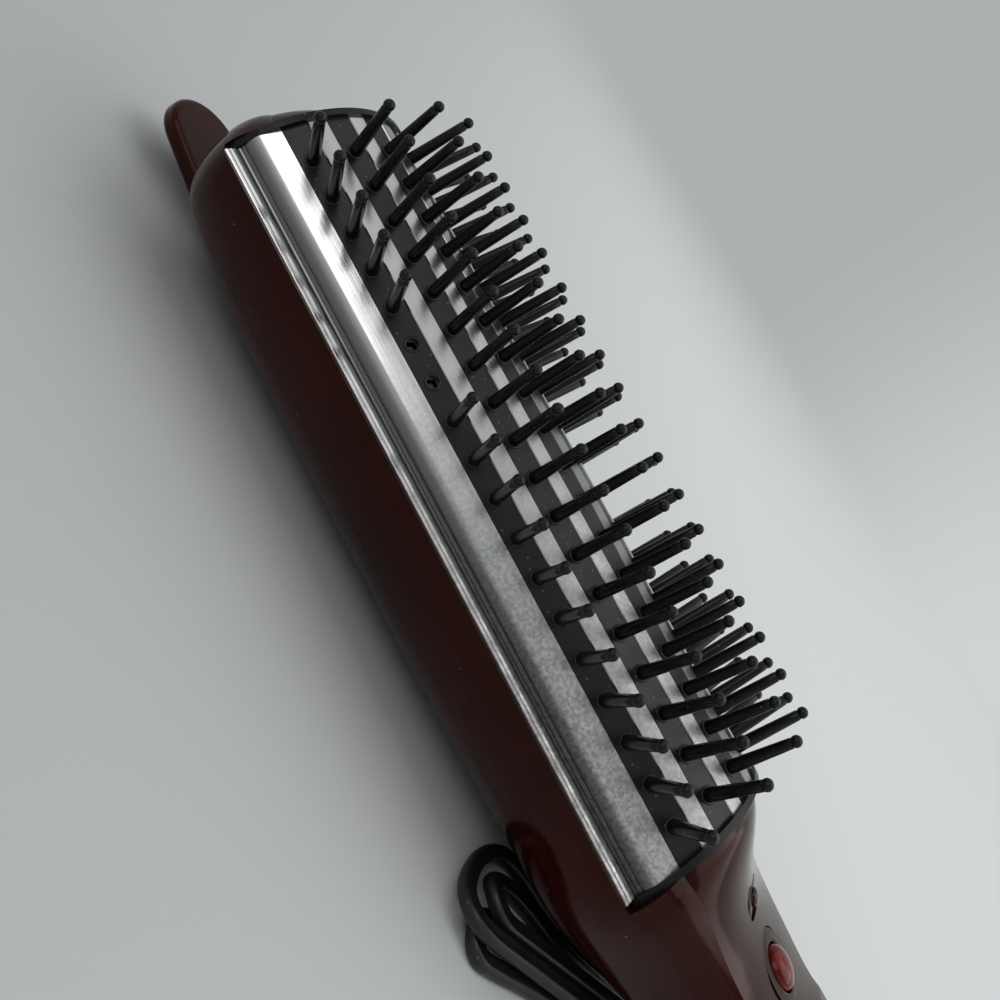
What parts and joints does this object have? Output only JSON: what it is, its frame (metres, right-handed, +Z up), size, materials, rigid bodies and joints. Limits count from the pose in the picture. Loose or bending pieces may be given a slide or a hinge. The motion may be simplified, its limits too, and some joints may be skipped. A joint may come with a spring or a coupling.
{
  "type": "heated styling brush",
  "caption": "Corded heated hair brush with a domed ribbed metal plate, rows of ball-tipped pins between the ribs, an oval handle with a round power button and a folded mains cord.",
  "frame": {"origin": "under the middle of the brush, cord left out, on the surface it lies on", "axes": "+X from the finger tab along the brush to the cord end, +Z up through the pins, +Y across"},
  "size_m": [0.3295, 0.1138, 0.0551],
  "materials": {
    "shell": "deep wine-brown moulding, high gloss with fine handling scratches",
    "plate": "extruded, satin, with fine lengthwise machining lines",
    "cap": "black heat-resistant moulding",
    "strip": "black moulded strip, semi-gloss",
    "pins": "black nylon, semi-gloss",
    "carrier": "black heat-resistant moulding",
    "film": "amber insulating film",
    "heater": "pressed casing, dull",
    "steel": "zinc plated",
    "fuse": "plain can",
    "board": "green solder mask",
    "switch": "black",
    "lens": "dark tinted, clear",
    "ring": "dark red moulding",
    "button": "red translucent, polished",
    "bush": "black",
    "sleeve": "black, satin",
    "cord": "black, satin",
    "plug": "black, satin",
    "contact": "nickel plated"
  },
  "bodies": {
    "brush": {"back_cover": "shell", "back_shell": "shell", "front_shell": "shell", "heating_plate": "plate", "tip_end_cap": "cap", "neck_end_cap": "cap", "plate_carrier": "carrier", "heater_film": "film", "heater_bar": "heater", "heater_clamp": "steel", "clamp_screws": "steel", "thermal_fuse": "fuse", "circuit_board": "board", "tact_switch": "switch", "display_lens": "lens", "button_ring": "ring", "shell_screws": "steel", "cord_lead": "cord", "cord_hank": "cord", "cord_tail": "cord", "plug_body": "plug", "plug_pins": "contact", "bristle_strip_1": "strip", "pin_row_1": "pins", "bristle_strip_2": "strip", "pin_row_2": "pins", "bristle_strip_3": "strip", "pin_row_3": "pins", "bristle_strip_4": "strip", "pin_row_4": "pins", "bristle_strip_5": "strip", "pin_row_5": "pins", "bristle_strip_6": "strip", "pin_row_6": "pins"},
    "button": {"power_button": "button"},
    "swivel": {"swivel_bush": "bush", "strain_relief": "sleeve"}
  },
  "joints": [
    {"name": "button_press", "type": "slide", "parent": "brush", "child": "button", "axis": [0, 0, -1], "range_m": [0, 0.0005], "stiffness_N_per_m": 1500, "springref_m": -0.0004},
    {"name": "cord_swivel", "type": "hinge", "parent": "brush", "child": "swivel", "pos_m": [0.1411, 0, 0.0215], "axis": [1, 0, 0], "continuous": true}
  ]
}
